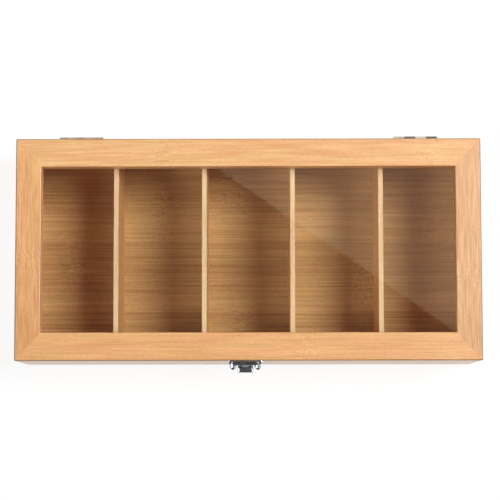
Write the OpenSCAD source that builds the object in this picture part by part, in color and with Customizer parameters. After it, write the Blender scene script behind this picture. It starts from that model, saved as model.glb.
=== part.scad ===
// Tea bag organizer box: a bamboo box with five compartments and a hinged, glazed lid.
// Millimetres. +Z is up, +X is right, the hasp is at the front (-Y) and the hinges at the back (+Y).
// The origin is the middle of the underside of the bottom board.

/* [Box] */
// Width of the closed box, side to side
box_w = 360; // [320:1:420]
// Depth of the closed box, front to back
box_d = 172; // [150:1:210]
// Height of the walls, from the underside up to the lid
wall_h = 76; // [64:1:100]
// Thickness of the four walls
wall_t = 9.5; // [9:0.5:14]
// Depth of the corner rebates in the front and back walls
corner_rebate = 4.75; // [3:0.25:6]
// Thickness of the bottom board
bottom_t = 5; // [3:0.5:8]
// Width of the rebate that the bottom board is let into
bottom_rebate = 4.75; // [3:0.25:6]
// Rounding of the outside edges
edge_r = 1; // [0.4:0.1:1.4]
// Rounding of the two edges that meet at the joint between box and lid
joint_r = 0.6; // [0.3:0.1:0.8]

/* [Dividers] */
// Thickness of a divider
divider_t = 4; // [3:0.5:6]
// Drop from the top of the walls to the top of the dividers
divider_drop = 6; // [3:0.5:15]
// Depth of the dadoes that hold the dividers' ends
dado_d = 3; // [2:0.5:4]
// Play on each side of a divider in its dado
dado_play = 0.1; // [0.05:0.05:0.2]
// Rounding of a divider's top edges
divider_r = 0.6; // [0.3:0.1:1]

/* [Lid] */
// Thickness of the lid frame
lid_t = 14; // [13:0.5:20]
// Width of the front and rear rails
rail_w = 21.7; // [18:0.1:30]
// Width of the left and right stiles
stile_w = 19.7; // [18:0.1:30]
// Thickness of the clear pane
pane_t = 2; // [1.5:0.5:3]
// Depth of the groove that holds the pane
pane_groove = 5; // [3:0.5:7]
// Height of the pane's groove above the lid's underside
pane_z = 5; // [4:0.5:7]
// Play between the pane's edge and the bottom of its groove
pane_play = 0.4; // [0.1:0.1:0.8]
// Rounding of the window's upper edge
window_r = 0.8; // [0.4:0.1:1.2]

/* [Hinges] */
// Length of a hinge
hinge_l = 34; // [28:1:44]
// Distance from the end of the box to the end of a hinge
hinge_end = 32.5; // [20:0.5:60]
// Distance that a leaf stops short of the wall's inside face
leaf_short = 0.5; // [0.3:0.1:1]
// Thickness of a leaf
leaf_t = 0.9; // [0.7:0.1:1.2]
// Drop of each leaf's face below the joint
leaf_gap = 0.1; // [0.05:0.05:0.2]
// Radius of a hinge pin
hinge_pin_r = 0.8; // [0.7:0.1:1.2]
// Thickness of the metal rolled round the hinge pin
knuckle_t = 0.8; // [0.7:0.1:1.2]
// Clearance between neighbouring knuckles, and between a barrel and the wood
knuckle_gap = 0.3; // [0.2:0.05:0.4]
// Half the distance between the two screws of a leaf
leaf_screw_x = 10; // [8:0.5:11]
// Length of a hinge screw
leaf_screw_l = 9; // [6:0.5:10]
// Radius of a hinge screw's shank
leaf_screw_r = 1; // [0.8:0.1:1.2]
// Radius of a hinge screw's countersunk head
leaf_head_r = 1.9; // [1.6:0.1:2.2]

/* [Hasp] */
// Place of the hasp's middle, to the right of the middle of the box
hasp_x = -2.5; // [-30:0.5:30]
// Width of the hasp's plate on the lid
plate_w = 28; // [26:0.5:34]
// Height of the hasp's plate on the lid
plate_h = 10.5; // [9:0.5:12]
// Thickness of the hasp's two plates
plate_t = 0.9; // [0.7:0.1:1.2]
// Distance of each of the plate's screws from the end of the plate
plate_screw_in = 2.5; // [2.4:0.1:3]
// Clearance between each end of the hasp's barrel and the dome head beside it
barrel_gap = 0.2; // [0.1:0.1:2]
// Radius of the hasp's pin
hasp_pin_r = 0.7; // [0.6:0.1:0.9]
// Thickness of the metal rolled round the hasp's pin
hasp_roll_t = 0.8; // [0.6:0.1:1]
// Width of the flap
flap_w = 12.5; // [12:0.5:13]
// Width of the flap's own knuckle
flap_knuckle_w = 6.5; // [5:0.5:7]
// Thickness of the flap
flap_t = 0.9; // [0.7:0.1:1.2]
// Length of the flap from the middle of its window down to the start of its lip
flap_tail = 5.5; // [4:0.5:10]
// Radius of the bend where the flap turns out into its lip
lip_r = 1.6; // [1.2:0.1:3]
// Straight part of the lip
lip_flat = 2.8; // [2:0.1:4]
// Radius of the rolled edge down each side of the flap and its lip
flap_edge_r = 0.8; // [0.6:0.05:1]
// Height of the grip ribs on the flap
rib_h = 0.35; // [0.2:0.05:0.5]
// Width of a grip rib
rib_w = 0.8; // [0.6:0.1:1]

/* [Catch] */
// Distance from the joint down to the top of the catch plate
catch_below = 1.7; // [1:0.1:4]
// Width of the middle of the catch plate
catch_w = 13; // [12:0.5:16]
// Height of the middle of the catch plate
catch_h = 15; // [12:0.5:18]
// Radius of the rounded ears round the catch's screws
ear_r = 3.4; // [3.2:0.1:4]
// Height of the necks that join the ears to the plate
ear_neck_h = 5.4; // [4:0.1:6]
// Clearance between an ear and the edge of the flap, seen from the front
ear_gap = 0.05; // [0.05:0.05:1]
// Width of the flat rim round a boss, and round the dome head on it
boss_rim = 0.3; // [0.2:0.1:0.4]
// Height of the boss under each of the catch's screws, which guards the flap's side
boss_h = 3.8; // [2:0.1:5]
// Width of the nib that passes through the flap
nib_w = 4.4; // [3:0.1:4.8]
// Height of the nib
nib_h = 3.2; // [2.4:0.1:3.6]
// Play between the nib and the edge of the flap's window
nib_play = 0.6; // [0.4:0.1:0.8]

/* [Dome screws] */
// Radius of a dome head
dome_r = 2.3; // [2:0.1:2.5]
// Height of a dome head
dome_h = 1.8; // [1.2:0.1:2]
// Radius of a dome screw's shank
dome_shank_r = 1; // [0.8:0.1:1.2]
// Length of a dome screw's shank in the wood
dome_shank_l = 7; // [5:0.5:7]
// Width of the cross recess in a dome head
recess_w = 0.5; // [0.4:0.1:0.6]

/* [Hidden] */
$fn = 48;

// Colours of the pieces
bamboo = "burlywood";
bamboo_dark = "tan";
chrome = "silver";
steel = "dimgray";

// A little more than nothing, so that a cut passes the face it opens
cut = 0.5;
// Running clearance of a pin in its knuckles, and of a screw in its hole
pin_play = 0.05;
screw_play = 0.05;
// Play of the bottom board in its rebate, and of a hinge leaf in its mortise
board_play = 0.1;
leaf_play = 0.1;
// Length of a screw's point, and its radius at the tip as a share of the shank's
point_l = 2;
point_share = 0.3;
// Rounding of the corners of the hasp's plate and the catch plate
plate_corner_r = 2;
// Reach of the nib past the flap, and height of its blunt nose as a share of the nib's height
nib_past = 1;
nose_share = 1 / 3;
// Length of a screw's cross recess as a share of its head's width
recess_share = 0.45;
// Number of dividers, of knuckles on a hinge, and of grip ribs on the flap
dividers = 4;
knuckles = 4;
ribs = 4;

// The inside of the box
inner_w = box_w - 2 * wall_t;
inner_d = box_d - 2 * wall_t;
divider_h = wall_h - bottom_t - divider_drop;
divider_pitch = (inner_w + divider_t) / (dividers + 1);

// The window in the lid
window_w = box_w - 2 * stile_w;
window_d = box_d - 2 * rail_w;

// The hinges: the barrel stands clear behind the box, on the line where the lid meets the walls
barrel_r = hinge_pin_r + pin_play + knuckle_t;
hinge_x = box_w / 2 - hinge_end - hinge_l / 2;
hinge_y = box_d / 2 + knuckle_gap + barrel_r;
leaf_w = wall_t - leaf_short;
leaf_bed = leaf_gap + leaf_t;
sink_h = leaf_head_r - leaf_screw_r;
knuckle_pitch = hinge_l / knuckles;

// The hasp: heights are above the underside of the box, and reach is out from its front face
roll_r = hasp_pin_r + pin_play + hasp_roll_t;
plate_mid_z = wall_h + lid_t / 2;
hasp_pin_z = plate_mid_z - plate_h / 2 + roll_r;
hasp_pin_reach = knuckle_gap + roll_r;
flap_out = hasp_pin_reach + roll_r;
flap_in = flap_out - flap_t;
plate_screw_x = plate_w / 2 - plate_screw_in;
hasp_barrel_w = 2 * (plate_screw_x - dome_r - barrel_gap);

// The catch, whose nib stands in the middle of the flap's window
catch_z = wall_h - catch_below - catch_h / 2;
catch_drop = hasp_pin_z - catch_z;
catch_screw_x = flap_w / 2 + ear_gap + ear_r;
flap_window_w = nib_w + 2 * nib_play;
flap_window_h = nib_h + 2 * nib_play;
nib_reach = flap_out + nib_past;
flap_drop = catch_drop + flap_tail;
flap_mid = flap_out - flap_t / 2;
lip_reach = flap_out + lip_r + lip_flat + flap_t;
rib_pitch = (flap_w - 4 * flap_edge_r) / (ribs + 1);

// The corner of a square that a rounding takes away, with the corner at the origin
module ease_corner(r) {
    difference() {
        translate([-cut, -cut]) square(r + cut);
        translate([r, r]) circle(r);
    }
}

// A rectangle from the origin with its four corners rounded: lower left, lower right, upper right, upper left
module eased_rect(w, h, r) {
    difference() {
        square([w, h]);
        if (r[0] > 0) ease_corner(r[0]);
        if (r[1] > 0) translate([w, 0]) mirror([1, 0]) ease_corner(r[1]);
        if (r[2] > 0) translate([w, h]) rotate(180) ease_corner(r[2]);
        if (r[3] > 0) translate([0, h]) mirror([0, 1]) ease_corner(r[3]);
    }
}

// The outline of a plate about the origin, with all four corners rounded alike
module rounded_plate(w, h) {
    r = plate_corner_r;
    translate([-w / 2, -h / 2]) eased_rect(w, h, [r, r, r, r]);
}

// A bar along X from a section drawn in Y and Z
module bar_x(l) {
    translate([-l / 2, 0, 0]) rotate([90, 0, 90]) linear_extrude(height = l) children();
}

// A round rod along X, centred
module rod_x(r, l) {
    translate([-l / 2, 0, 0]) rotate([0, 90, 0]) cylinder(r = r, h = l);
}

// Places a piece on the front face: its X stays, its Y is up and its Z is out from the box
module on_front(z) {
    translate([hasp_x, -box_d / 2, z]) rotate([90, 0, 0]) children();
}

// The space of the bottom board, which the walls are rebated for
module bottom_space(play, below) {
    w = inner_w + 2 * bottom_rebate - 2 * play;
    d = inner_d + 2 * bottom_rebate - 2 * play;
    translate([-w / 2, -d / 2, -below]) cube([w, d, bottom_t + below]);
}

// A round vertical corner of the box, taken off at its front left
module corner_post() {
    translate([-box_w / 2, -box_d / 2, -cut])
        linear_extrude(height = wall_h + 2 * cut) ease_corner(edge_r);
}

// A long wall in the front's place, with corner rebates, dadoes and the bottom board's rebate
module long_wall() {
    difference() {
        translate([0, -box_d / 2, 0])
            bar_x(box_w) eased_rect(wall_t, wall_h, [edge_r, 0, 0, joint_r]);
        for (side = [0, 1]) mirror([side, 0, 0]) {
            corner_post();
            translate([-box_w / 2 - cut, -box_d / 2 + wall_t - corner_rebate, -cut])
                cube([wall_t + cut, corner_rebate + cut, wall_h + 2 * cut]);
        }
        for (n = [1 : dividers])
            translate([divider_x(n) - divider_t / 2 - dado_play, -inner_d / 2 - dado_d, bottom_t])
                cube([divider_t + 2 * dado_play, dado_d + cut, wall_h]);
        bottom_space(0, cut);
    }
}

// A short wall in the left side's place: its ends sit in the long walls' rebates
module short_wall() {
    l = box_d - 2 * (wall_t - corner_rebate);
    difference() {
        translate([-box_w / 2, 0, 0]) rotate([0, 0, 90]) mirror([0, 1, 0])
            bar_x(l) eased_rect(wall_t, wall_h, [edge_r, 0, 0, joint_r]);
        bottom_space(0, cut);
    }
}

function divider_x(n) = (n - (dividers + 1) / 2) * divider_pitch;

// A divider stands on the bottom board, with its ends in the dadoes
module divider(n) {
    l = inner_d + 2 * (dado_d - dado_play);
    color(bamboo)
        translate([divider_x(n), 0, bottom_t]) rotate([0, 0, 90]) translate([0, -divider_t / 2, 0])
            bar_x(l) eased_rect(divider_t, divider_h, [0, 0, divider_r, divider_r]);
}

// Screws, with the underside of a dome head or the face of a countersunk head at Z 0, pointing down
module dome_screw() {
    cap_r = (dome_r * dome_r + dome_h * dome_h) / (2 * dome_h);
    difference() {
        intersection() {
            translate([0, 0, dome_h - cap_r]) sphere(cap_r);
            cylinder(r = dome_r + cut, h = dome_h);
        }
        for (a = [45, 135]) rotate([0, 0, a]) recess(dome_r, dome_h);
    }
}

// One arm of the cross recess in a head, cut down from the height given
module recess(head_r, top) {
    l = 2 * recess_share * head_r;
    translate([-l / 2, -recess_w / 2, top - recess_w]) cube([l, recess_w, recess_w + cut]);
}

module shank(r, l) {
    translate([0, 0, -l]) cylinder(r1 = point_share * r, r2 = r, h = point_l);
    translate([0, 0, point_l - l]) cylinder(r = r, h = l - point_l);
}

module countersunk_screw() {
    difference() {
        translate([0, 0, -sink_h]) {
            cylinder(r1 = leaf_screw_r, r2 = leaf_head_r, h = sink_h);
            shank(leaf_screw_r, leaf_screw_l - sink_h);
        }
        for (a = [45, 135]) rotate([0, 0, a]) recess(leaf_head_r, 0);
    }
}

// The hole for a screw's shank, drilled from Z 0 down
module screw_hole(r, l) {
    translate([0, 0, -l - screw_play]) cylinder(r = r + screw_play, h = l + screw_play + cut);
}

// Places one thing at each hinge, with the hinge's axis at Y 0 and the joint at Z 0
module at_hinge(side) {
    translate([side * hinge_x, hinge_y, wall_h]) children();
}

// Places one thing at each screw of a leaf that lies below the joint
module at_leaf_screws() {
    for (s = [-1, 1])
        translate([s * leaf_screw_x, -barrel_r - knuckle_gap - leaf_w / 2, -leaf_gap]) children();
}

// The mortise for a leaf in the wood below the joint, with the holes for its screws
module leaf_mortise() {
    translate([-hinge_l / 2 - leaf_play, -barrel_r - knuckle_gap - leaf_w - leaf_play, -leaf_bed])
        cube([hinge_l + 2 * leaf_play, leaf_w + leaf_play + cut, leaf_bed + cut]);
    at_leaf_screws() screw_hole(leaf_screw_r, leaf_screw_l);
}

// A leaf below the joint that owns every second knuckle, starting from the one given
module hinge_leaf(first) {
    back = -barrel_r - knuckle_gap;
    difference() {
        union() {
            translate([-hinge_l / 2, back - leaf_w, -leaf_bed])
                linear_extrude(height = leaf_t) eased_rect(hinge_l, leaf_w, [edge_r, edge_r, 0, 0]);
            for (k = [first : 2 : knuckles - 1]) {
                at = (k + 0.5) * knuckle_pitch - hinge_l / 2;
                own = knuckle_pitch - knuckle_gap / 2;
                translate([at, 0, 0]) rod_x(barrel_r, own);
                translate([at - own / 2, back - cut, -leaf_bed]) cube([own, cut - back, leaf_t]);
            }
        }
        rod_x(hinge_pin_r + pin_play, hinge_l + 2 * cut);
        at_leaf_screws() {
            translate([0, 0, -sink_h])
                cylinder(r1 = leaf_screw_r + screw_play, r2 = leaf_head_r + screw_play, h = sink_h);
            screw_hole(leaf_screw_r, leaf_screw_l);
        }
    }
}

// Mirrors what lies below the joint to lie above it
module above_joint() {
    mirror([0, 0, 1]) children();
}

module front_wall() {
    color(bamboo) difference() {
        long_wall();
        on_front(catch_z) for (s = [-1, 1])
            translate([s * catch_screw_x, 0, 0]) screw_hole(dome_shank_r, dome_shank_l);
    }
}

module back_wall() {
    color(bamboo) difference() {
        mirror([0, 1, 0]) long_wall();
        for (side = [-1, 1]) at_hinge(side) leaf_mortise();
    }
}

module left_wall() {
    color(bamboo) short_wall();
}

module right_wall() {
    color(bamboo) mirror([1, 0, 0]) short_wall();
}

module bottom_board() {
    color(bamboo_dark) bottom_space(board_play, 0);
}

// The plan of a lid member: the mitres run from the outer corners to the window's corners
module rail_plan() {
    polygon([
        [-box_w / 2, -box_d / 2], [box_w / 2, -box_d / 2],
        [window_w / 2, -window_d / 2], [-window_w / 2, -window_d / 2]
    ]);
}

module stile_plan() {
    polygon([
        [-box_w / 2, -box_d / 2], [-window_w / 2, -window_d / 2],
        [-window_w / 2, window_d / 2], [-box_w / 2, box_d / 2]
    ]);
}

// The section of a lid member, from its outer edge to the window, with the groove for the pane
module lid_section(w) {
    difference() {
        eased_rect(w, lid_t, [joint_r, 0, window_r, edge_r]);
        translate([w - pane_groove, pane_z]) square([pane_groove + cut, pane_t]);
    }
}

module lid_rail() {
    translate([0, 0, wall_h]) intersection() {
        translate([0, -box_d / 2, 0]) bar_x(box_w) lid_section(rail_w);
        linear_extrude(height = lid_t) rail_plan();
        translate([-box_w / 2, -box_d / 2, 0])
            linear_extrude(height = lid_t) eased_rect(box_w, box_d, [edge_r, edge_r, 0, 0]);
    }
}

module lid_stile() {
    translate([0, 0, wall_h]) intersection() {
        translate([-box_w / 2, 0, 0]) rotate([0, 0, 90]) mirror([0, 1, 0]) bar_x(box_d) lid_section(stile_w);
        linear_extrude(height = lid_t) stile_plan();
        translate([-box_w / 2, -box_d / 2, 0])
            linear_extrude(height = lid_t) eased_rect(box_w, box_d, [edge_r, 0, 0, edge_r]);
    }
}

module lid_front_rail() {
    color(bamboo) difference() {
        lid_rail();
        on_front(plate_mid_z) for (s = [-1, 1])
            translate([s * plate_screw_x, 0, 0]) screw_hole(dome_shank_r, dome_shank_l);
    }
}

module lid_rear_rail() {
    color(bamboo) difference() {
        mirror([0, 1, 0]) lid_rail();
        for (side = [-1, 1]) at_hinge(side) above_joint() leaf_mortise();
    }
}

module lid_left_stile() {
    color(bamboo) lid_stile();
}

module lid_right_stile() {
    color(bamboo) mirror([1, 0, 0]) lid_stile();
}

module window_pane() {
    w = window_w + 2 * (pane_groove - pane_play);
    d = window_d + 2 * (pane_groove - pane_play);
    color("lightcyan", 0.35) translate([-w / 2, -d / 2, wall_h + pane_z]) cube([w, d, pane_t]);
}

module hinge_pin(side) {
    color(steel) at_hinge(side) rod_x(hinge_pin_r, hinge_l);
}

module hinge_body_screws() {
    color(steel) for (side = [-1, 1]) at_hinge(side) at_leaf_screws() countersunk_screw();
}

module hinge_lid_screws() {
    color(steel) for (side = [-1, 1]) at_hinge(side) above_joint() at_leaf_screws() countersunk_screw();
}

// The plate on the lid, with a knuckle on each side of the flap's
module hasp_plate() {
    pin_y = hasp_pin_z - plate_mid_z;
    notch_w = flap_knuckle_w + 2 * knuckle_gap;
    color(chrome) on_front(plate_mid_z) difference() {
        union() {
            linear_extrude(height = plate_t) rounded_plate(plate_w, plate_h);
            translate([0, pin_y, hasp_pin_reach]) rod_x(roll_r, hasp_barrel_w);
            translate([-hasp_barrel_w / 2, pin_y - roll_r, 0]) cube([hasp_barrel_w, roll_r, plate_t]);
        }
        translate([-notch_w / 2, -plate_h / 2 - cut, -cut])
            cube([notch_w, 2 * roll_r + knuckle_gap + cut, hasp_pin_reach + roll_r + 2 * cut]);
        translate([0, pin_y, hasp_pin_reach]) rod_x(hasp_pin_r + pin_play, hasp_barrel_w + 2 * cut);
        for (s = [-1, 1]) translate([s * plate_screw_x, 0, -cut])
            cylinder(r = dome_shank_r + screw_play, h = plate_t + 2 * cut);
    }
}

module hasp_plate_screws() {
    color(chrome) on_front(plate_mid_z) for (s = [-1, 1]) translate([s * plate_screw_x, 0, plate_t]) {
        dome_screw();
        shank(dome_shank_r, dome_shank_l + plate_t);
    }
}

module hasp_pin() {
    color(chrome) on_front(hasp_pin_z) translate([0, 0, hasp_pin_reach]) rod_x(hasp_pin_r, hasp_barrel_w);
}

// The flap's side view, with reach along X and height along Y: a straight strip and a lip that curls out.
// The metal grows outwards by the amount given, which makes a grip rib
module flap_section(grow) {
    top = -roll_r - knuckle_gap;
    inside_r = lip_r - grow;
    translate([flap_in, -flap_drop]) square([flap_t + grow, flap_drop + top]);
    translate([flap_out + lip_r, -flap_drop]) intersection() {
        difference() {
            circle(lip_r + flap_t);
            circle(inside_r);
        }
        translate([-lip_r - flap_t, -lip_r - flap_t]) square(lip_r + flap_t);
    }
    translate([flap_out + lip_r, -flap_drop - lip_r - flap_t]) square([lip_flat, flap_t + grow]);
    translate([flap_out + lip_r + lip_flat, -flap_drop - lip_r - flap_t / 2]) circle(flap_t / 2 + grow / 2);
}

// The rolled edge down one side of the flap: straight down, round the bend and out, with round ends
module flap_edge() {
    top = roll_r + knuckle_gap + flap_edge_r;
    bend_r = lip_r + flap_t / 2;
    out = lip_flat + flap_t / 2 - flap_edge_r;
    translate([0, -top, flap_mid]) {
        sphere(flap_edge_r);
        rotate([90, 0, 0]) cylinder(r = flap_edge_r, h = flap_drop - top);
    }
    translate([0, -flap_drop, flap_mid + bend_r]) {
        rotate([0, 90, 0]) rotate(-90) rotate_extrude(angle = 90) translate([bend_r, 0]) circle(flap_edge_r);
        translate([0, -bend_r, 0]) cylinder(r = flap_edge_r, h = out);
        translate([0, -bend_r, out]) sphere(flap_edge_r);
    }
}

// The flap hangs from its own knuckle over the catch, and swings out and up on the hasp's pin
module hasp_flap() {
    ribs_top = catch_drop + flap_window_h / 2 + rib_w;
    color(chrome) on_front(hasp_pin_z) difference() {
        union() {
            translate([0, 0, hasp_pin_reach]) rod_x(roll_r, flap_knuckle_w);
            translate([-flap_knuckle_w / 2, -roll_r - 2 * knuckle_gap, flap_in])
                cube([flap_knuckle_w, roll_r + 2 * knuckle_gap, flap_t]);
            flap_bar(flap_w - 2 * flap_edge_r) flap_section(0);
            for (s = [-1, 1]) translate([s * (flap_w / 2 - flap_edge_r), 0, 0]) flap_edge();
            for (n = [1 : ribs])
                translate([(n - (ribs + 1) / 2) * rib_pitch, 0, 0]) difference() {
                    flap_bar(rib_w) flap_section(rib_h);
                    translate([-flap_w / 2, -ribs_top, 0]) cube([flap_w, ribs_top, lip_reach]);
                }
        }
        translate([0, 0, hasp_pin_reach]) rod_x(hasp_pin_r + pin_play, flap_knuckle_w + 2 * cut);
        translate([-flap_window_w / 2, -catch_drop - flap_window_h / 2, 0])
            cube([flap_window_w, flap_window_h, lip_reach]);
    }
}

// A bar across the hasp from its side view: reach becomes Z and height stays Y
module flap_bar(w) {
    translate([w / 2, 0, 0]) rotate([0, -90, 0]) linear_extrude(height = w) children();
}

// The catch on the front wall: a plate with two screwed ears and a nib for the flap's window
module catch_plate() {
    color(chrome) on_front(catch_z) difference() {
        union() {
            linear_extrude(height = plate_t) {
                rounded_plate(catch_w, catch_h);
                translate([-catch_screw_x, -ear_neck_h / 2]) square([2 * catch_screw_x, ear_neck_h]);
                for (s = [-1, 1]) translate([s * catch_screw_x, 0]) circle(ear_r);
            }
            for (s = [-1, 1]) translate([s * catch_screw_x, 0, 0])
                cylinder(r1 = ear_r - boss_rim, r2 = dome_r + boss_rim, h = plate_t + boss_h);
            flap_bar(nib_w) polygon([
                [0, -nib_h / 2], [nib_reach, -nib_h / 2], [nib_reach, nib_h * (nose_share - 0.5)],
                [flap_in, nib_h / 2], [0, nib_h / 2]
            ]);
        }
        for (s = [-1, 1]) translate([s * catch_screw_x, 0, -cut])
            cylinder(r = dome_shank_r + screw_play, h = plate_t + boss_h + 2 * cut);
    }
}

module catch_screws() {
    color(chrome) on_front(catch_z) for (s = [-1, 1]) translate([s * catch_screw_x, 0, plate_t + boss_h]) {
        dome_screw();
        shank(dome_shank_r, dome_shank_l + plate_t + boss_h);
    }
}

front_wall();
back_wall();
left_wall();
right_wall();
bottom_board();
divider(1);  // divider_1
divider(2);  // divider_2
divider(3);  // divider_3
divider(4);  // divider_4
color(steel) at_hinge(-1) hinge_leaf(0);  // left_hinge_body_leaf
color(steel) at_hinge(1) hinge_leaf(1);  // right_hinge_body_leaf
hinge_pin(-1);  // left_hinge_pin
hinge_pin(1);  // right_hinge_pin
hinge_body_screws();
catch_plate();
catch_screws();
lid_front_rail();
lid_rear_rail();
lid_left_stile();
lid_right_stile();
window_pane();
color(steel) at_hinge(-1) above_joint() hinge_leaf(1);  // left_hinge_lid_leaf
color(steel) at_hinge(1) above_joint() hinge_leaf(0);  // right_hinge_lid_leaf
hinge_lid_screws();
hasp_plate();
hasp_plate_screws();
hasp_pin();
hasp_flap();
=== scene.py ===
"""Finishes and lights the tea bag organizer box: lacquered bamboo, a clear pane, dark hinges and a bright hasp."""

import math

import bpy
from bpy.props import FloatProperty, FloatVectorProperty, PointerProperty
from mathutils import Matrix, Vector


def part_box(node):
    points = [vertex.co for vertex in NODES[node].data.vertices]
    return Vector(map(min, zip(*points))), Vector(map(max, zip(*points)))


bl_info = {
    "name": "Tea Bag Organizer Box",
    "version": (1, 0, 0),
    "blender": (4, 5, 0),
    "location": "3D View > Sidebar > Tea Box",
    "description": "Finishes the bamboo tea box, its pane and its metalwork, and builds the studio round it",
    "category": "Object",
}

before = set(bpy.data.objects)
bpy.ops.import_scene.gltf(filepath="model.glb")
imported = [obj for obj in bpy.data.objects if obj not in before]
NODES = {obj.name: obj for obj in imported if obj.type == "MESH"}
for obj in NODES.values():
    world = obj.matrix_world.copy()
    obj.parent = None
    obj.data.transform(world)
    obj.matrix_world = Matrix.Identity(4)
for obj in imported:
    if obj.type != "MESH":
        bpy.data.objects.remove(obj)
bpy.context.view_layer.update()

MM = 0.001
TO_MM = 1 / MM
ALONG_X, ALONG_Y = 0.0, math.radians(-90)
SMOOTH = {"interpolation_type": "SMOOTHSTEP"}
BLEND = {"data_type": "RGBA"}
TINT = {"data_type": "RGBA", "blend_type": "MULTIPLY"}


def linear(code):
    """Turns an sRGB hex colour into linear values."""
    parts = [int(code[i : i + 2], 16) / 255 for i in (1, 3, 5)]
    return [p / 12.92 if p <= 0.04045 else ((p + 0.055) / 1.055) ** 2.4 for p in parts]


def colour_prop(name, description, code):
    return FloatVectorProperty(
        name=name, description=description, subtype="COLOR", size=3, min=0, max=1, default=linear(code)
    )


class BambooSettings(bpy.types.PropertyGroup):
    """Colours and sizes of the bamboo."""

    rear_rail: colour_prop("Rear rail", "Middle tone of the lid's rear rail", "#F8BA82")
    front_rail: colour_prop("Front rail", "Middle tone of the lid's front rail", "#EBB077")
    left_stile: colour_prop("Left stile", "Middle tone of the lid's left stile", "#E9AC75")
    right_stile: colour_prop("Right stile", "Middle tone of the lid's right stile", "#E2AD7B")
    wall: colour_prop("Walls", "Middle tone of the four walls", "#EFBD86")
    divider: colour_prop("Dividers", "Middle tone of the dividers' edges", "#FFD0A6")
    # Painted shade on the dividers' broad faces
    face_shade: colour_prop("Divider faces", "Tint of the dividers' broad faces, beside their edges", "#E4D1AF")
    floor: colour_prop("Bottom board", "Middle tone of the bottom board", "#BF9662")
    fibre_width: FloatProperty(
        name="Fibre width", description="Width of one visible fibre", default=1.3 * MM, unit="LENGTH"
    )
    knot_reach: FloatProperty(
        name="Knot reach", description="How far a joint of the cane troubles the fibres", default=15 * MM, unit="LENGTH"
    )
    lacquer: FloatProperty(
        name="Lacquer roughness", description="Roughness of the satin lacquer", default=0.4, min=0, max=1
    )
    sanded: FloatProperty(
        name="Sanded roughness", description="Roughness of the boards inside the box", default=0.62, min=0, max=1
    )


class MetalSettings(bpy.types.PropertyGroup):
    """Colours and polish of the hinges and the hasp."""

    chrome: colour_prop("Chrome", "Colour of the hasp's plating", "#D4D6DA")
    nickel: colour_prop("Nickel", "Colour of the hinges' plating where it is bright", "#E6DDD0")
    # Painted shade: a darker copy of the nickel that stands in for the shade and dark reflections on some knuckles
    nickel_shade: colour_prop("Nickel shade", "Colour of the hinges' plating where it has darkened", "#857F7A")
    chrome_roughness: FloatProperty(
        name="Chrome roughness", description="Roughness of the hasp's plating", default=0.16, min=0, max=1
    )
    nickel_roughness: FloatProperty(
        name="Nickel roughness", description="Roughness of the hinges' plating", default=0.34, min=0, max=1
    )


class PaneSettings(bpy.types.PropertyGroup):
    """The clear pane."""

    tint: colour_prop("Tint", "Colour that the pane passes", "#FDFEFD")
    ior: FloatProperty(name="IOR", description="Refractive index of acrylic", default=1.49, min=1, max=2)


class StudioSettings(bpy.types.PropertyGroup):
    """Lamps, floor and camera."""

    key_power: FloatProperty(name="Key power", description="Power of the lamp on the right", default=51, unit="POWER")
    key_size: FloatProperty(name="Key size", description="Width of the key lamp", default=1.0, unit="LENGTH")
    fill_power: FloatProperty(name="Fill power", description="Power of the lamp on the left", default=23, unit="POWER")
    fill_size: FloatProperty(name="Fill size", description="Width of the fill lamp", default=0.9, unit="LENGTH")
    lamp_distance: FloatProperty(
        name="Lamp distance", description="Distance of both lamps from the box", default=2.6, unit="LENGTH"
    )
    horizon: FloatProperty(
        name="Horizon", description="Light from the pale walls low round the table", default=0.8, min=0
    )
    camera_place: FloatVectorProperty(
        name="Camera place",
        description="Where the camera hangs above the box",
        default=(0.0079, -0.1373, 1.5121),
        subtype="TRANSLATION",
        unit="LENGTH",
    )
    camera_turn: FloatVectorProperty(
        name="Camera turn",
        description="Turn of the camera from looking straight down",
        default=tuple(math.radians(a) for a in (5.48, 0.272, -0.07)),
        subtype="EULER",
        unit="ROTATION",
    )
    lens: FloatProperty(name="Lens", description="Focal length on a 36 mm sensor", default=133.4, unit="CAMERA")


def add(tree, kind, settings=None, links=None):
    """Adds a node, sets its properties, and gives each named input a value or another node's output."""
    node = tree.nodes.new(kind)
    for name, value in (settings or {}).items():
        setattr(node, name, value)
    for name, value in (links or {}).items():
        if isinstance(value, bpy.types.Node):
            value = next(o for o in value.outputs if o.enabled)
        if isinstance(value, bpy.types.NodeSocket):
            tree.links.new(value, node.inputs[name])
        else:
            node.inputs[name].default_value = value
    return node


def new_material(name):
    """An empty material and its node tree."""
    material = bpy.data.materials.new(name)
    material.use_nodes = True
    material.node_tree.nodes.clear()
    return material, material.node_tree


def drawn_out(tree, grain, length, width, detail=2.0):
    """Marks drawn out along the grain, of about that length and width in millimetres."""
    scaled = add(tree, "ShaderNodeMapping", links={"Vector": grain, "Scale": (1 / length, 1 / width, 1 / width)})
    return add(tree, "ShaderNodeTexNoise", links={"Vector": scaled, "Scale": 1.0, "Detail": detail})


def knot_distance(tree, axes, knots, half_width):
    """Distance in millimetres to the nearest joint of the cane. Each is given as (along, across) the grain, and
    crosses the board for half_width to each side of that place."""
    nearest = 1000.0
    for along, across in knots:
        off = add(tree, "ShaderNodeMath", {"operation": "SUBTRACT"}, {0: axes.outputs["X"], 1: along})
        off = add(tree, "ShaderNodeMath", {"operation": "ABSOLUTE"}, {0: off})
        side = add(tree, "ShaderNodeMath", {"operation": "SUBTRACT"}, {0: axes.outputs["Y"], 1: across})
        side = add(tree, "ShaderNodeMath", {"operation": "ABSOLUTE"}, {0: side})
        side = add(tree, "ShaderNodeMath", {"operation": "SUBTRACT"}, {0: side, 1: half_width})
        both = add(tree, "ShaderNodeMath", {"operation": "MAXIMUM"}, {0: off, 1: side})
        nearest = add(tree, "ShaderNodeMath", {"operation": "MINIMUM"}, {0: nearest, 1: both})
    return nearest


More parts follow.
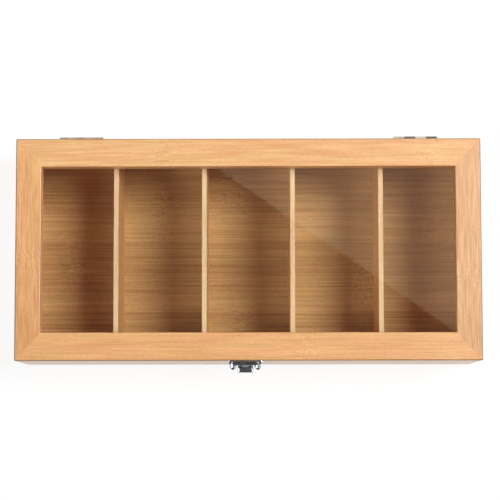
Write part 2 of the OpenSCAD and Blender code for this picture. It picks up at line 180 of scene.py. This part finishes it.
def shaded_arris(tree, place):
    """1 on the rounded outer edge of the lid's top, where shade is painted in dark, and 0 elsewhere."""
    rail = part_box("lid_front_rail")
    half_x, half_y, top = rail[1].x, -rail[0].y, rail[1].z
    size = add(tree, "ShaderNodeVectorMath", {"operation": "ABSOLUTE"}, {0: place.outputs["Object"]})
    parts = add(tree, "ShaderNodeSeparateXYZ", links={0: size})
    width, soft = 1.0 * MM, 0.2 * MM
    span = {"Value": parts.outputs["X"], "From Min": half_x - width, "From Max": half_x - soft}
    side = add(tree, "ShaderNodeMapRange", SMOOTH, span)
    span = {"Value": parts.outputs["Y"], "From Min": half_y - width, "From Max": half_y - soft}
    front = add(tree, "ShaderNodeMapRange", SMOOTH, span)
    outer = add(tree, "ShaderNodeMath", {"operation": "MAXIMUM"}, {0: side, 1: front})
    span = {"Value": parts.outputs["Z"], "From Min": top - 2 * width, "From Max": top - width}
    height = add(tree, "ShaderNodeMapRange", SMOOTH, span)
    return add(tree, "ShaderNodeMath", {"operation": "MULTIPLY"}, {0: outer, 1: height})


def mitre_line(tree, place):
    """1 on the hairline where two members of the lid meet, and 0 elsewhere."""
    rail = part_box("lid_front_rail")
    outer = Vector((rail[1].x, -rail[0].y, 0))
    inner = Vector((-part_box("lid_left_stile")[1].x, -rail[1].y, 0))
    run = (outer - inner).normalized()
    across = Vector((run.y, -run.x, 0))
    size = add(tree, "ShaderNodeVectorMath", {"operation": "ABSOLUTE"}, {0: place.outputs["Object"]})
    off = add(tree, "ShaderNodeVectorMath", {"operation": "DOT_PRODUCT"}, {0: size, 1: across})
    off = add(tree, "ShaderNodeMath", {"operation": "SUBTRACT"}, {0: off.outputs["Value"], 1: outer.dot(across)})
    off = add(tree, "ShaderNodeMath", {"operation": "ABSOLUTE"}, {0: off})
    return add(tree, "ShaderNodeMapRange", SMOOTH, {"Value": off, "From Min": 0.4 * MM, "From Max": 0.1 * MM})


def bamboo(
    board,
    tone,
    turn,
    start,
    knots,
    knot_width=200,
    length=40,
    contrast=0.24,
    streaks=1.5,
    strips=0.5,
    fade=0.0,
    pale_strips=(),
    lacquered=True,
):
    """Pressed bamboo, lacquered or only sanded. The eye sees straight fibres, strips of slightly different tone,
    wavy and mottled stretches where the cane had its joints, dark pores on sawn ends, and a soft, even shine,
    which sanded boards lack. turn lays the pattern along the board, and start shifts it, in millimetres, so that
    no two boards repeat. length is how far one fibre can be followed, in millimetres, contrast is how far the
    fibres leave the middle tone, and fade is how much the tone rises for each millimetre. pale_strips are the
    paler strips that the board was pressed from, each as its lowest and highest place across the grain."""
    settings = bpy.context.scene.tea_box_bamboo
    kind = "lacquered" if lacquered else "sanded"
    material, tree = new_material(f"{kind} bamboo {board}")
    place = add(tree, "ShaderNodeTexCoord")
    turned = {"Vector": place.outputs["Object"], "Rotation": (0, 0, turn), "Scale": (TO_MM,) * 3}
    ruler = add(tree, "ShaderNodeMapping", links=turned)
    axes = add(tree, "ShaderNodeSeparateXYZ", links={0: ruler})
    shifted = add(tree, "ShaderNodeVectorMath", {"operation": "ADD"}, {0: ruler, 1: start})

    # A joint of the cane bends the fibres that pass it by a millimetre or so
    reach = settings.knot_reach * TO_MM
    near = knot_distance(tree, axes, knots, knot_width)
    knot = add(tree, "ShaderNodeMapRange", SMOOTH, {"Value": near, "From Min": reach, "From Max": 0.2 * reach})
    sway = drawn_out(tree, shifted, 20, 6)
    sway = add(tree, "ShaderNodeMath", {"operation": "SUBTRACT"}, {0: sway, 1: 0.5})
    calm, bent = 0.4, 6.0
    amount = add(tree, "ShaderNodeMath", {"operation": "MULTIPLY_ADD"}, {0: knot, 1: bent, 2: calm})
    sway = add(tree, "ShaderNodeMath", {"operation": "MULTIPLY"}, {0: sway, 1: amount})
    aside = add(tree, "ShaderNodeCombineXYZ", links={"Y": sway, "Z": sway})
    grain = add(tree, "ShaderNodeVectorMath", {"operation": "ADD"}, {0: shifted, 1: aside})

    # Real bundles are 0.3 to 0.6 mm wide, which is too fine to show, so they are drawn about twice as wide
    width = settings.fibre_width * TO_MM
    fibre = drawn_out(tree, grain, length, width, detail=3.0)
    strip = drawn_out(tree, grain, 6 * length, 3.2 * width, detail=1.0)
    cloud = drawn_out(tree, grain, 45, 14, detail=1.0)
    fleck = drawn_out(tree, grain, 1.7, 0.8)
    mottle = drawn_out(tree, grain, 2.2, 1.5)
    mottled = add(tree, "ShaderNodeMath", {"operation": "SUBTRACT"}, {0: mottle, 1: 0.5})
    mottled = add(tree, "ShaderNodeMath", {"operation": "MULTIPLY"}, {0: mottled, 1: knot})
    value = add(tree, "ShaderNodeMath", {"operation": "MULTIPLY_ADD"}, {0: mottled, 1: 1.3, 2: 0.5})
    value = add(tree, "ShaderNodeMath", {"operation": "MULTIPLY_ADD"}, {0: axes.outputs["X"], 1: fade, 2: value})
    for part, share in ((fibre, streaks), (strip, strips), (cloud, 0.5), (fleck, 0.85)):
        part = add(tree, "ShaderNodeMath", {"operation": "SUBTRACT"}, {0: part, 1: 0.5})
        value = add(tree, "ShaderNodeMath", {"operation": "MULTIPLY_ADD"}, {0: part, 1: share, 2: value})
    for low, high in pale_strips:
        off = add(tree, "ShaderNodeMath", {"operation": "SUBTRACT"}, {0: axes.outputs["Y"], 1: (low + high) / 2})
        off = add(tree, "ShaderNodeMath", {"operation": "ABSOLUTE"}, {0: off})
        half, blur, rise = (high - low) / 2, 2.0, 0.28
        span = {"Value": off, "From Min": half + blur, "From Max": half - blur, "To Max": rise}
        paler = add(tree, "ShaderNodeMapRange", SMOOTH, span)
        value = add(tree, "ShaderNodeMath", {"operation": "ADD"}, {0: value, 1: paler})
    value = add(tree, "ShaderNodeClamp", links={"Value": value})

    # Dark fibres are the redder ones, so the blue of the tone moves further than its red
    spread = [contrast * s for s in (0.72, 1.0, 1.4)]
    deep = [c * (1 - s) for c, s in zip(tone, spread)]
    pale = [min(c * (1 + s), 1) for c, s in zip(tone, spread)]
    colour = add(tree, "ShaderNodeMix", BLEND, {0: value, 6: (*deep, 1), 7: (*pale, 1)})
    warmth = drawn_out(tree, grain, 50, 7, detail=1.0)
    warmth = add(tree, "ShaderNodeMapRange", SMOOTH, {"Value": warmth, "From Min": 0.35, "From Max": 0.65})
    rosy, straw = (*linear("#FFF9F6"), 1), (*linear("#FEFFF5"), 1)
    warmth = add(tree, "ShaderNodeMix", BLEND, {0: warmth, 6: rosy, 7: straw})
    colour = add(tree, "ShaderNodeMix", TINT, {0: 1.0, 6: colour, 7: warmth})

    # How far a face looks along the board, across it and up
    facing = {"Vector": place.outputs["Normal"], "Angle": turn}
    facing = add(tree, "ShaderNodeVectorRotate", {"rotation_type": "Z_AXIS"}, facing)
    facing = add(tree, "ShaderNodeVectorMath", {"operation": "ABSOLUTE"}, {0: facing})
    facing = add(tree, "ShaderNodeSeparateXYZ", links={0: facing})

    if board.startswith("divider"):
        # Painted shade: the broad faces are tinted darker than the edges
        broad = {"Value": facing.outputs["Y"], "From Min": 0.4, "From Max": 0.8}
        broad = add(tree, "ShaderNodeMapRange", SMOOTH, broad)
        colour = add(tree, "ShaderNodeMix", TINT, {0: broad, 6: colour, 7: (*settings.face_shade, 1)})

    # Sawn ends face along the grain
    end = {"Value": facing.outputs["X"], "From Min": 0.6, "From Max": 0.8}
    end = add(tree, "ShaderNodeMapRange", SMOOTH, end)
    pores = add(tree, "ShaderNodeTexVoronoi", links={"Vector": grain, "Scale": 1.1})
    pores = {"Value": pores.outputs["Distance"], "From Min": 0.5, "From Max": 0.15}
    pores = add(tree, "ShaderNodeMapRange", SMOOTH, pores)
    wood, pore = (*[0.78 * c for c in tone], 1), (*[0.4 * c for c in deep], 1)
    sawn = add(tree, "ShaderNodeMix", BLEND, {0: pores, 6: wood, 7: pore})
    colour = add(tree, "ShaderNodeMix", BLEND, {0: end, 6: colour, 7: sawn})

    if board.startswith("lid"):
        # Painted shade darkens the rounded outer edge of the lid's top, and a faint hairline marks each mitre
        arris_shade, hairline = (*linear("#A69B8E"), 1), (*linear("#F8F3EE"), 1)
        colour = add(tree, "ShaderNodeMix", TINT, {0: shaded_arris(tree, place), 6: colour, 7: arris_shade})
        colour = add(tree, "ShaderNodeMix", TINT, {0: mitre_line(tree, place), 6: colour, 7: hairline})

    roughness = settings.lacquer if lacquered else settings.sanded
    varied = {0: fibre, 1: 0.2, 2: roughness - 0.1}
    skin = {
        "Base Color": colour,
        "Roughness": add(tree, "ShaderNodeMath", {"operation": "MULTIPLY_ADD"}, varied),
        "Normal": add(tree, "ShaderNodeBump", links={"Strength": 0.25, "Distance": 0.12 * MM, "Height": value}),
        "IOR": 1.5,
        "Specular IOR Level": 0.5 if lacquered else 0.25,
        "Coat Weight": 0.5 if lacquered else 0.0,
        "Coat Roughness": 0.28,
    }
    surface = add(tree, "ShaderNodeBsdfPrincipled", links=skin)
    add(tree, "ShaderNodeOutputMaterial", links={"Surface": surface})
    return material


def plated(name, colour, roughness, scratch):
    """Plated steel. The eye sees a bright metal that mirrors the studio, with a polish that varies a little where
    it was buffed and handled. Its scratches are 0.05 mm wide, and are drawn at 0.25 mm so that they show."""
    material, tree = new_material(name)
    place = add(tree, "ShaderNodeTexCoord")
    ruler = add(tree, "ShaderNodeVectorMath", {"operation": "SCALE"}, {0: place.outputs["Object"], "Scale": TO_MM})
    smudge = drawn_out(tree, ruler, 6, 3)
    buffed = drawn_out(tree, ruler, 9, 0.25)
    worn = add(tree, "ShaderNodeMapRange", SMOOTH, {"Value": smudge, "From Min": 0.3, "From Max": 0.7})
    dull = (*[0.75 * c for c in colour], 1)
    varied = {0: smudge, 1: 0.2, 2: roughness - 0.1}
    skin = {
        "Base Color": add(tree, "ShaderNodeMix", BLEND, {0: worn, 6: dull, 7: (*colour, 1)}),
        "Metallic": 1.0,
        "Roughness": add(tree, "ShaderNodeMath", {"operation": "MULTIPLY_ADD"}, varied),
        "Normal": add(tree, "ShaderNodeBump", links={"Strength": scratch, "Distance": 0.03 * MM, "Height": buffed}),
    }
    surface = add(tree, "ShaderNodeBsdfPrincipled", links=skin)
    add(tree, "ShaderNodeOutputMaterial", links={"Surface": surface})
    return material


def cast_acrylic():
    """Clear cast acrylic. The eye sees what lies below it, a little paler where its smooth face mirrors the
    studio. Light from the lamps and from the wood passes straight through."""
    pane = bpy.context.scene.tea_box_pane
    material, tree = new_material("clear cast acrylic")
    place = add(tree, "ShaderNodeTexCoord")
    ruler = add(tree, "ShaderNodeVectorMath", {"operation": "SCALE"}, {0: place.outputs["Object"], "Scale": TO_MM})
    haze = add(tree, "ShaderNodeMath", {"operation": "MULTIPLY"}, {0: drawn_out(tree, ruler, 60, 40), 1: 0.02})
    skin = {"Base Color": (*pane.tint, 1), "Roughness": haze, "IOR": pane.ior, "Transmission Weight": 1.0}
    clear = add(tree, "ShaderNodeBsdfPrincipled", links=skin)
    passed = add(tree, "ShaderNodeBsdfTransparent", links={"Color": (*pane.tint, 1)})
    path = add(tree, "ShaderNodeLightPath")
    kinds = {0: path.outputs["Is Shadow Ray"], 1: path.outputs["Is Diffuse Ray"]}
    lit = add(tree, "ShaderNodeMath", {"operation": "MAXIMUM"}, kinds)
    surface = add(tree, "ShaderNodeMixShader", links={0: lit, 1: clear, 2: passed})
    add(tree, "ShaderNodeOutputMaterial", links={"Surface": surface})
    return material


def finish(node, material):
    """Gives a CAD node its material."""
    NODES[node].material_slots[0].material = material


class TEABOX_OT_finish_lid(bpy.types.Operator):
    """Finish the four mitred members of the lid in lacquered bamboo"""

    bl_idname = "teabox.finish_lid"
    bl_label = "Finish Lid Frame"

    def execute(self, context):
        tones = context.scene.tea_box_bamboo
        rear = bamboo("lid rear rail", tones.rear_rail, ALONG_X, (0, 310, 0), [(-66, 0), (142, 0)], streaks=1.8)
        front = bamboo("lid front rail", tones.front_rail, ALONG_X, (95, 40, 12), [(45, 0)], streaks=1.2)
        short = {"length": 20, "streaks": 2.3}
        left = bamboo("lid left stile", tones.left_stile, ALONG_Y, (210, -95, 31), [(-8.5, 0)], fade=0.004, **short)
        right = bamboo(
            "lid right stile", tones.right_stile, ALONG_Y, (-55, 73, 54), [(-21.6, 0)], fade=0.0015, **short
        )
        finish("lid_rear_rail", rear)
        finish("lid_front_rail", front)
        finish("lid_left_stile", left)
        finish("lid_right_stile", right)
        return {"FINISHED"}


class TEABOX_OT_finish_walls(bpy.types.Operator):
    """Finish the four walls in lacquered bamboo"""

    bl_idname = "teabox.finish_walls"
    bl_label = "Finish Walls"

    def execute(self, context):
        tone = context.scene.tea_box_bamboo.wall
        finish("front_wall", bamboo("front wall", tone, ALONG_X, (20, 15, 81), [(-98, 0), (112, 0)]))
        finish("back_wall", bamboo("back wall", tone, ALONG_X, (150, 62, 8), [(-30, 0), (140, 0)]))
        finish("left_wall", bamboo("left wall", tone, ALONG_Y, (33, 120, 44), [(-22, 0)]))
        finish("right_wall", bamboo("right wall", tone, ALONG_Y, (78, 11, 27), [(41, 0)]))
        return {"FINISHED"}


class TEABOX_OT_finish_floor(bpy.types.Operator):
    """Finish the bottom board in close grained bamboo"""

    bl_idname = "teabox.finish_floor"
    bl_label = "Finish Bottom Board"

    def execute(self, context):
        tone = context.scene.tea_box_bamboo.floor
        knots = [(-143.7, 1.2), (-68.1, 36), (-12.8, 59), (-4.7, -60.2), (96, -20), (150, 30)]
        look = {"knot_width": 12, "length": 90, "contrast": 0.4, "streaks": 1.7, "strips": 0.6, "lacquered": False}
        pressed = [(13, 37), (-44, -27)]
        board = bamboo("bottom board", tone, ALONG_X, (5, 9, 0), knots, pale_strips=pressed, **look)
        finish("bottom_board", board)
        return {"FINISHED"}


class TEABOX_OT_finish_dividers(bpy.types.Operator):
    """Finish the four dividers in bamboo"""

    bl_idname = "teabox.finish_dividers"
    bl_label = "Finish Dividers"

    def execute(self, context):
        tone = context.scene.tea_box_bamboo.divider
        for number in range(1, 5):
            start = (37 * number, 19 * number, 11 * number)
            knots = [(23 * number - 60, 0)]
            board = bamboo(f"divider {number}", tone, ALONG_Y, start, knots, streaks=1.0, lacquered=False)
            finish(f"divider_{number}", board)
        return {"FINISHED"}


class TEABOX_OT_finish_pane(bpy.types.Operator):
    """Finish the window in clear acrylic"""

    bl_idname = "teabox.finish_pane"
    bl_label = "Finish Pane"

    def execute(self, context):
        finish("window_pane", cast_acrylic())
        return {"FINISHED"}


class TEABOX_OT_finish_hinges(bpy.types.Operator):
    """Finish both hinges and their screws in nickel, with a darker copy on some pieces that paints the shade and dark
    reflections on their knuckles
    """

    bl_idname = "teabox.finish_hinges"
    bl_label = "Finish Hinges"

    def execute(self, context):
        metal = context.scene.tea_box_metal
        bright = plated("nickel plated steel", metal.nickel, metal.nickel_roughness, 0.3)
        # The darker copy paints the shade and dark reflections seen on some knuckles
        dull = plated("nickel plated steel in painted shade", metal.nickel_shade, metal.nickel_roughness, 0.3)
        for node in ("left_hinge_lid_leaf", "left_hinge_body_leaf", "right_hinge_lid_leaf", "left_hinge_pin"):
            finish(node, bright)
        for node in ("right_hinge_body_leaf", "right_hinge_pin", "hinge_body_screws", "hinge_lid_screws"):
            finish(node, dull)
        return {"FINISHED"}


class TEABOX_OT_finish_hasp(bpy.types.Operator):
    """Finish the hasp, its catch and their screws in bright chrome"""

    bl_idname = "teabox.finish_hasp"
    bl_label = "Finish Hasp"

    def execute(self, context):
        metal = context.scene.tea_box_metal
        chrome = plated("chrome plated steel", metal.chrome, metal.chrome_roughness, 0.1)
        for node in ("hasp_plate", "hasp_plate_screws", "hasp_pin", "hasp_flap", "catch_plate", "catch_screws"):
            finish(node, chrome)
        return {"FINISHED"}


def seen_ray(tree):
    """1 for rays from the camera, and for those that metal and glass send on."""
    path = add(tree, "ShaderNodeLightPath")
    kinds = {0: path.outputs["Is Camera Ray"], 1: path.outputs["Is Glossy Ray"]}
    either = add(tree, "ShaderNodeMath", {"operation": "MAXIMUM"}, kinds)
    kinds = {0: either, 1: path.outputs["Is Transmission Ray"]}
    return add(tree, "ShaderNodeMath", {"operation": "MAXIMUM"}, kinds)


def floor_paper():
    """White paper: seen almost white, with a pale trace of the object's shadow."""
    material, tree = new_material("white paper")
    paper = add(tree, "ShaderNodeBsdfDiffuse", links={"Color": (*linear("#E7E7E7"), 1)})
    shaded = add(tree, "ShaderNodeBsdfDiffuse", links={"Color": (*linear("#757575"), 1)})
    glow = add(tree, "ShaderNodeEmission", links={"Strength": 0.86})
    pale = add(tree, "ShaderNodeAddShader", links={0: shaded, 1: glow})
    surface = add(tree, "ShaderNodeMixShader", links={0: seen_ray(tree), 1: paper, 2: pale})
    add(tree, "ShaderNodeOutputMaterial", links={"Surface": surface})
    return material


def sheet(name, middle, width, depth, turn, material):
    """A flat sheet of the studio, of that size and round that middle."""
    bpy.ops.object.select_all(action="DESELECT")
    bpy.ops.mesh.primitive_plane_add(size=1, location=middle, rotation=turn)
    plane = bpy.context.object
    plane.name = name
    plane.scale = (width, depth, 1)
    bpy.ops.object.transform_apply(location=True, rotation=True, scale=True)
    plane.data.materials.append(material)
    return plane


def card(name, middle, width, depth, turn, code):
    """A card that shows only as a reflection in metal, lacquer and the pane. It casts no light and no shadow."""
    material, tree = new_material(name)
    glow = add(tree, "ShaderNodeEmission", links={"Color": (*linear(code), 1)})
    add(tree, "ShaderNodeOutputMaterial", links={"Surface": glow})
    plane = sheet(name, middle, width, depth, turn, material)
    plane.visible_camera = plane.visible_diffuse = plane.visible_shadow = False
    return plane


def lamp(name, direction, distance, size, power):
    """A soft square lamp that shines at the box from that direction."""
    data = bpy.data.lights.new(name, "AREA")
    data.energy = power
    data.size = size
    light = bpy.data.objects.new(name, data)
    bpy.context.scene.collection.objects.link(light)
    light.location = direction * distance
    light.rotation_euler = direction.to_track_quat("Z", "Y").to_euler()
    light.visible_camera = False


def towards(elevation, azimuth):
    """The direction at that many degrees above the table, and that many from +X towards +Y."""
    up, round_z = math.radians(elevation), math.radians(azimuth)
    return Vector((math.cos(up) * math.cos(round_z), math.cos(up) * math.sin(round_z), math.sin(up)))


class TEABOX_OT_build_studio(bpy.types.Operator):
    """Lay the floor, hang the lamps, the cards and the camera, and light the surround"""

    bl_idname = "teabox.build_studio"
    bl_label = "Build Studio"

    def execute(self, context):
        studio = context.scene.tea_box_studio
        across = 12.0
        sheet("floor", (0, 0, 0), across, across, (0, 0, 0), floor_paper())
        self.hang_cards()
        lamp("key", towards(58, 11), studio.lamp_distance, studio.key_size, studio.key_power)
        lamp("fill", towards(53, 197), studio.lamp_distance, studio.fill_size, studio.fill_power)
        self.surround(context, studio.horizon)
        self.hang_camera(context, studio)
        return {"FINISHED"}

    def hang_cards(self):
        """A warm card over the box with a dark one below it, whose long edge is the diagonal that the pane
        mirrors, and two cards in front, upright and lying, which give the hasp's chrome its dark parts."""
        wide, high, low = 3.0, 2.45, 2.4
        card("warm card", (0, 0, high), wide, wide, (0, 0, 0), "#F2DABC")
        start, end = Vector((-0.0665, 0.384, low)), Vector((0.401, 0.0595, low))
        run = (end - start).normalized()
        deep = 1.8
        middle = (start + end) / 2 + Vector((run.y, -run.x, 0)) * deep / 2
        card("dark card", middle, wide, deep, (0, 0, math.atan2(run.y, run.x)), "#5A5A5D")
        front = card("front card", (0, -2.0, high / 2), wide, high, (math.radians(90), 0, 0), "#3F3F42")
        front.visible_transmission = False
        near, far, above_floor = -0.15, -1.1, 2 * MM
        middle = (0, (near + far) / 2, above_floor)
        lying = card("lying card", middle, 0.6, near - far, (0, 0, 0), "#8A8A8E")
        lying.visible_transmission = False

    def surround(self, context, horizon):
        """White to the camera. As light it comes from low walls, and in reflections it darkens towards the top."""
        world = bpy.data.worlds.new("studio")
        context.scene.world = world
        world.use_nodes = True
        tree = world.node_tree
        tree.nodes.clear()
        direction = add(tree, "ShaderNodeTexCoord")
        height = add(tree, "ShaderNodeSeparateXYZ", links={0: direction.outputs["Generated"]})
        height = height.outputs["Z"]
        walls = {"Value": height, "From Min": 0.05, "From Max": 0.45, "To Min": horizon, "To Max": 0.0}
        walls = add(tree, "ShaderNodeMapRange", SMOOTH, walls)
        mirrored = {"Value": height, "From Min": 0.35, "From Max": 0.8, "To Min": 1.0, "To Max": 0.15}
        mirrored = add(tree, "ShaderNodeMapRange", SMOOTH, mirrored)
        path = add(tree, "ShaderNodeLightPath")
        number = {"data_type": "FLOAT"}
        kinds = {0: path.outputs["Is Glossy Ray"], 1: path.outputs["Is Transmission Ray"]}
        sent_on = add(tree, "ShaderNodeMath", {"operation": "MAXIMUM"}, kinds)
        strength = add(tree, "ShaderNodeMix", number, {0: sent_on, 2: walls, 3: mirrored})
        strength = add(tree, "ShaderNodeMix", number, {0: path.outputs["Is Camera Ray"], 2: strength, 3: 1.0})
        room = add(tree, "ShaderNodeBackground", links={"Color": (1, 1, 1, 1), "Strength": strength})
        add(tree, "ShaderNodeOutputWorld", links={"Surface": room})

    def hang_camera(self, context, studio):
        data = bpy.data.cameras.new("camera")
        data.lens = studio.lens
        data.sensor_width = 36
        camera = bpy.data.objects.new("camera", data)
        context.scene.collection.objects.link(camera)
        camera.location = studio.camera_place
        camera.rotation_euler = studio.camera_turn
        context.scene.camera = camera


STEPS = (
    TEABOX_OT_finish_walls,
    TEABOX_OT_finish_floor,
    TEABOX_OT_finish_dividers,
    TEABOX_OT_finish_lid,
    TEABOX_OT_finish_pane,
    TEABOX_OT_finish_hinges,
    TEABOX_OT_finish_hasp,
    TEABOX_OT_build_studio,
)


class TEABOX_PT_sidebar(bpy.types.Panel):
    """Lists the steps that finish the tea box"""

    bl_label = "Tea Bag Organizer Box"
    bl_idname = "TEABOX_PT_sidebar"
    bl_space_type = "VIEW_3D"
    bl_region_type = "UI"
    bl_category = "Tea Box"

    def draw(self, context):
        for step in STEPS:
            self.layout.operator(step.bl_idname)
        for group in SETTINGS:
            settings = getattr(context.scene, group)
            box = self.layout.box()
            for name in settings.__annotations__:
                box.prop(settings, name)


SETTINGS = {
    "tea_box_bamboo": BambooSettings,
    "tea_box_metal": MetalSettings,
    "tea_box_pane": PaneSettings,
    "tea_box_studio": StudioSettings,
}


def register():
    for cls in (*SETTINGS.values(), *STEPS, TEABOX_PT_sidebar):
        bpy.utils.register_class(cls)
    for name, cls in SETTINGS.items():
        setattr(bpy.types.Scene, name, PointerProperty(type=cls))


def unregister():
    for name in SETTINGS:
        delattr(bpy.types.Scene, name)
    for cls in (TEABOX_PT_sidebar, *reversed(STEPS), *SETTINGS.values()):
        bpy.utils.unregister_class(cls)


def main():
    """Runs every step in order."""
    register()
    bpy.context.scene.view_settings.view_transform = "Standard"
    for step in STEPS:
        family, name = step.bl_idname.split(".")
        getattr(getattr(bpy.ops, family), name)()


if __name__ == "__main__":
    main()
